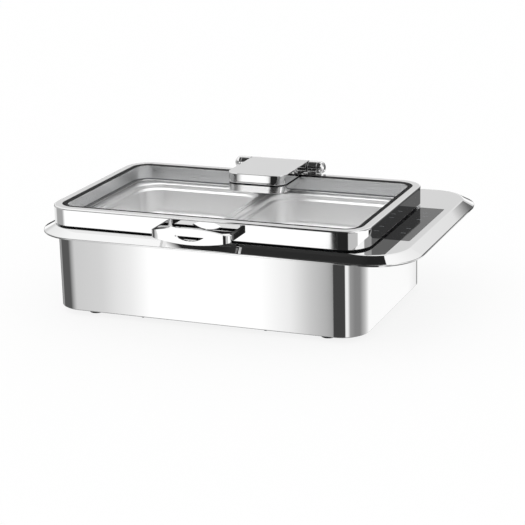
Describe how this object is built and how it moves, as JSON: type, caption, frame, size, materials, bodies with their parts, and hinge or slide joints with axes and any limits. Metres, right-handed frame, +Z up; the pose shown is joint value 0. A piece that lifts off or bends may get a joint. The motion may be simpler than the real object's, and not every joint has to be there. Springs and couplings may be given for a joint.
{
  "type": "electric chafing dish",
  "caption": "Countertop food warmer: steel water bath with two lift-out food pans, a glass lid in a steel frame that swings up on a rear hinge, and a side touch panel.",
  "frame": {"origin": "on the table, under the middle of the whole dish", "axes": "+X to the right, along the dish's length, +Y to the back, where the hinge is, +Z up"},
  "size_m": [0.679, 0.491, 0.209],
  "materials": {
    "polished_steel": "mirror polished stainless steel",
    "satin_steel": "satin stainless steel",
    "clear_glass": "clear tempered glass",
    "black_glass": "glossy black printed glass",
    "black_rubber": "matt black silicone rubber",
    "brass": "plain brass",
    "aluminium": "mill finish",
    "element_sheath": "dark oxidised steel sheath",
    "mineral_wool": "felted mineral wool",
    "black_plastic": "fine textured black",
    "circuit_board": "green solder mask",
    "component_plastic": "moulded plastic",
    "winding": "taped winding",
    "lead_insulation": "silicone insulation",
    "pale_plastic": "natural nylon"
  },
  "bodies": {
    "base": {"housing_shell": "polished_steel", "bottom_cover": "satin_steel", "cover_screws": "satin_steel", "rubber_feet": "black_rubber", "foot_screws": "satin_steel", "deck_tray": "polished_steel", "water_well": "satin_steel", "heat_spreader": "aluminium", "heating_element": "element_sheath", "element_straps": "satin_steel", "strap_nuts": "satin_steel", "insulation_pad": "mineral_wool", "heat_shield": "satin_steel", "thermal_cutout": "black_plastic", "temperature_probe": "satin_steel", "probe_clip": "satin_steel", "power_board": "circuit_board", "board_relay": "component_plastic", "board_transformer": "winding", "board_terminals": "component_plastic", "board_standoffs": "brass", "board_screws": "satin_steel", "mains_inlet": "black_plastic", "inlet_pins": "brass", "inlet_screws": "satin_steel", "earth_stud": "brass", "mains_leads": "lead_insulation", "heater_leads": "lead_insulation", "sensor_leads": "lead_insulation", "panel_cable": "black_rubber", "cable_grommet": "black_rubber", "panel_glass": "black_glass", "touch_board": "circuit_board", "touch_foam": "black_rubber", "control_box": "black_plastic", "control_box_nuts": "satin_steel", "hinge_base": "polished_steel", "hinge_backing_plate": "satin_steel", "hinge_base_screws": "satin_steel", "hinge_pin": "satin_steel", "hinge_washers": "pale_plastic", "hinge_end_caps": "polished_steel"},
    "lid": {"lid_frame": "polished_steel", "lid_liner": "satin_steel", "lid_glass": "clear_glass", "glass_gasket": "black_rubber", "lid_seal": "black_rubber", "hinge_block": "polished_steel", "hinge_clamp": "polished_steel", "clamp_pads": "black_rubber", "clamp_screws": "satin_steel", "glass_bushings": "pale_plastic", "hinge_bushings": "brass", "hinge_damper": "black_plastic", "handle": "polished_steel", "handle_screws": "satin_steel"},
    "food_pan_left": {"food_pan_left": "satin_steel"},
    "food_pan_right": {"food_pan_right": "satin_steel"}
  },
  "joints": [
    {"name": "lid_hinge", "type": "hinge", "parent": "base", "child": "lid", "pos_m": [-0.028, 0.1705, 0.197], "axis": [-1, 0, 0], "range_deg": [0, 90]},
    {"name": "food_pan_left_lift", "type": "slide", "parent": "base", "child": "food_pan_left", "axis": [0, 0, 1], "range_m": [0, 0.017]},
    {"name": "food_pan_right_lift", "type": "slide", "parent": "base", "child": "food_pan_right", "axis": [0, 0, 1], "range_m": [0, 0.017]}
  ]
}
